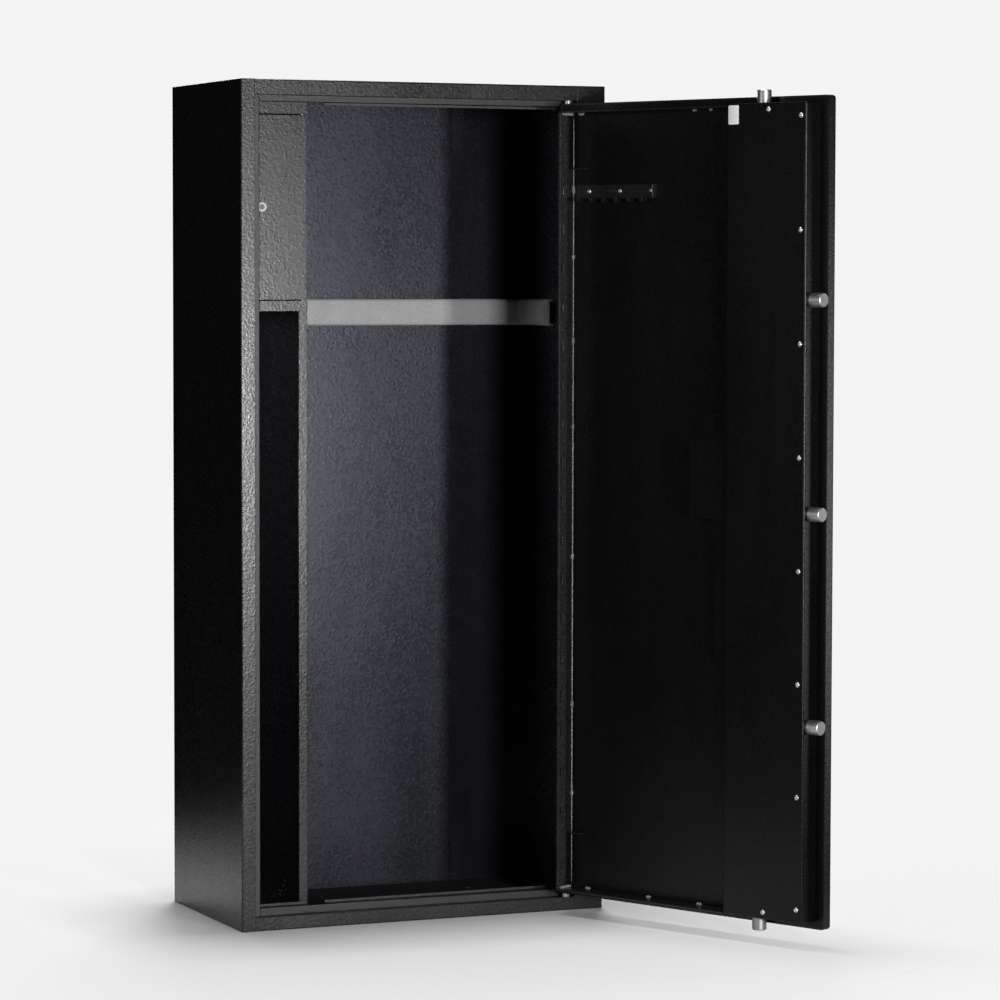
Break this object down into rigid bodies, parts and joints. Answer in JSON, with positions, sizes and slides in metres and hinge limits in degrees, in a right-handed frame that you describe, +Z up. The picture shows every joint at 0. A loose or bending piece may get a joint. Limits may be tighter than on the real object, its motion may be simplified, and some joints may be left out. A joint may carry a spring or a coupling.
{
  "type": "gun safe",
  "caption": "Tall steel gun safe with its door open: round lock bolts, lock cover, lockable inner box, divider and padded barrel rest.",
  "frame": {"origin": "centre of the cabinet's base, on the floor", "axes": "+Z up, +X towards the hinge side, -Y out of the cabinet's front"},
  "size_m": [0.8849, 0.9323, 1.5],
  "materials": {
    "powder_coat": "fine textured black powder coat",
    "bolt_steel": "satin turned steel",
    "screw_zinc": "bright zinc plate",
    "lock_chrome": "bright chrome",
    "handle_chrome": "satin chrome",
    "bronze": "plain bearing bronze",
    "grey_felt": "dense felt over foam",
    "black_mat": "ribbed rubber mat",
    "label_white": "blank sticker"
  },
  "bodies": {
    "cabinet": {"side_wall_left": "powder_coat", "side_wall_right": "powder_coat", "top_wall": "powder_coat", "bottom_wall": "powder_coat", "back_panel": "powder_coat", "frame_left": "powder_coat", "frame_right": "powder_coat", "frame_top": "powder_coat", "frame_bottom": "powder_coat", "hinge_pins": "bolt_steel", "hinge_brackets": "powder_coat", "inner_box_floor": "powder_coat", "inner_box_side": "powder_coat", "inner_box_header": "powder_coat", "inner_box_sill": "powder_coat", "inner_box_stile": "powder_coat", "inner_box_pins": "bolt_steel", "vertical_divider": "powder_coat", "barrel_rest_strip": "powder_coat", "barrel_rest_pad": "grey_felt", "floor_mat": "black_mat"},
    "main_door": {"door_outer_skin": "powder_coat", "door_inner_sheet": "powder_coat", "door_stiffeners": "powder_coat", "door_hard_plate": "bolt_steel", "hinge_bushes": "bronze", "door_rims": "powder_coat", "door_rim_hinge_side": "powder_coat", "hinge_side_bar": "powder_coat", "hinge_pocket_plates": "powder_coat", "lock_cover": "powder_coat", "cover_screws": "screw_zinc", "blank_label": "label_white", "lock_side_rail": "powder_coat", "cover_tabs": "powder_coat", "side_bolt_guides": "powder_coat", "rod_bolt_guides": "powder_coat", "spindle_bush": "bronze", "handle_rose": "handle_chrome", "lock_case": "powder_coat", "lock_duct": "powder_coat", "tongue_guides": "bolt_steel", "key_escutcheon": "handle_chrome", "key_hook_rail": "powder_coat", "hook_rail_screws": "screw_zinc"},
    "inner_door": {"inner_box_door": "powder_coat", "cam_lock_case": "lock_chrome"},
    "cam": {"cam_lock_plug": "lock_chrome"},
    "handle": {"handle_spindle": "bolt_steel", "handle_lever": "handle_chrome"},
    "side_boltwork": {"side_bolts": "bolt_steel", "side_bolt_bar": "bolt_steel"},
    "top_boltwork": {"top_lift_rod": "bolt_steel", "top_bolt": "bolt_steel"},
    "bottom_boltwork": {"bottom_lift_rod": "bolt_steel", "bottom_bolt": "bolt_steel"},
    "key_cylinder": {"key_barrel": "lock_chrome"},
    "tongue": {"lock_tongue": "bolt_steel"},
    "keyhole_flap": {"keyhole_cover": "handle_chrome"}
  },
  "joints": [
    {"name": "door_swing", "type": "hinge", "parent": "cabinet", "child": "main_door", "pos_m": [0.28, -0.177, 0.75], "axis": [0, 0, 1], "range_deg": [-114.5, 5.5]},
    {"name": "inner_door_swing", "type": "hinge", "parent": "cabinet", "child": "inner_door", "pos_m": [-0.206, -0.104, 1.2775], "axis": [0, 0, 1], "range_deg": [0, 100]},
    {"name": "cam_turn", "type": "hinge", "parent": "inner_door", "child": "cam", "pos_m": [-0.284, -0.11, 1.278], "axis": [0, 1, 0], "range_deg": [-90, 0]},
    {"name": "handle_turn", "type": "hinge", "parent": "main_door", "child": "handle", "pos_m": [0.47698, -0.60923, 0.805], "axis": [-0.91, -0.4147, 0], "range_deg": [0, 90]},
    {"name": "side_bolt_slide", "type": "slide", "parent": "main_door", "child": "side_boltwork", "axis": [-0.4147, 0.91, 0], "range_m": [0, 0.0236]},
    {"name": "top_bolt_slide", "type": "slide", "parent": "main_door", "child": "top_boltwork", "axis": [0, 0, -1], "range_m": [0, 0.0236]},
    {"name": "bottom_bolt_slide", "type": "slide", "parent": "main_door", "child": "bottom_boltwork", "axis": [0, 0, 1], "range_m": [0, 0.0236]},
    {"name": "key_turn", "type": "hinge", "parent": "main_door", "child": "key_cylinder", "pos_m": [0.42929, -0.50459, 0.805], "axis": [-0.91, -0.4147, 0], "range_deg": [-180, 0]},
    {"name": "tongue_slide", "type": "slide", "parent": "main_door", "child": "tongue", "axis": [-0.4147, 0.91, 0], "range_m": [-0.02356, 0]},
    {"name": "flap_swivel", "type": "hinge", "parent": "main_door", "child": "keyhole_flap", "pos_m": [0.44112, -0.49919, 0.83], "axis": [-0.91, -0.4147, 0], "range_deg": [-120, 120]}
  ],
  "couplings": [
    {"joint": "side_bolt_slide", "follows": "handle_turn", "m_per_rad": 0.015},
    {"joint": "top_bolt_slide", "follows": "handle_turn", "m_per_rad": 0.015},
    {"joint": "bottom_bolt_slide", "follows": "handle_turn", "m_per_rad": 0.015},
    {"joint": "key_turn", "follows": "tongue_slide", "rad_per_m": 133.33}
  ]
}
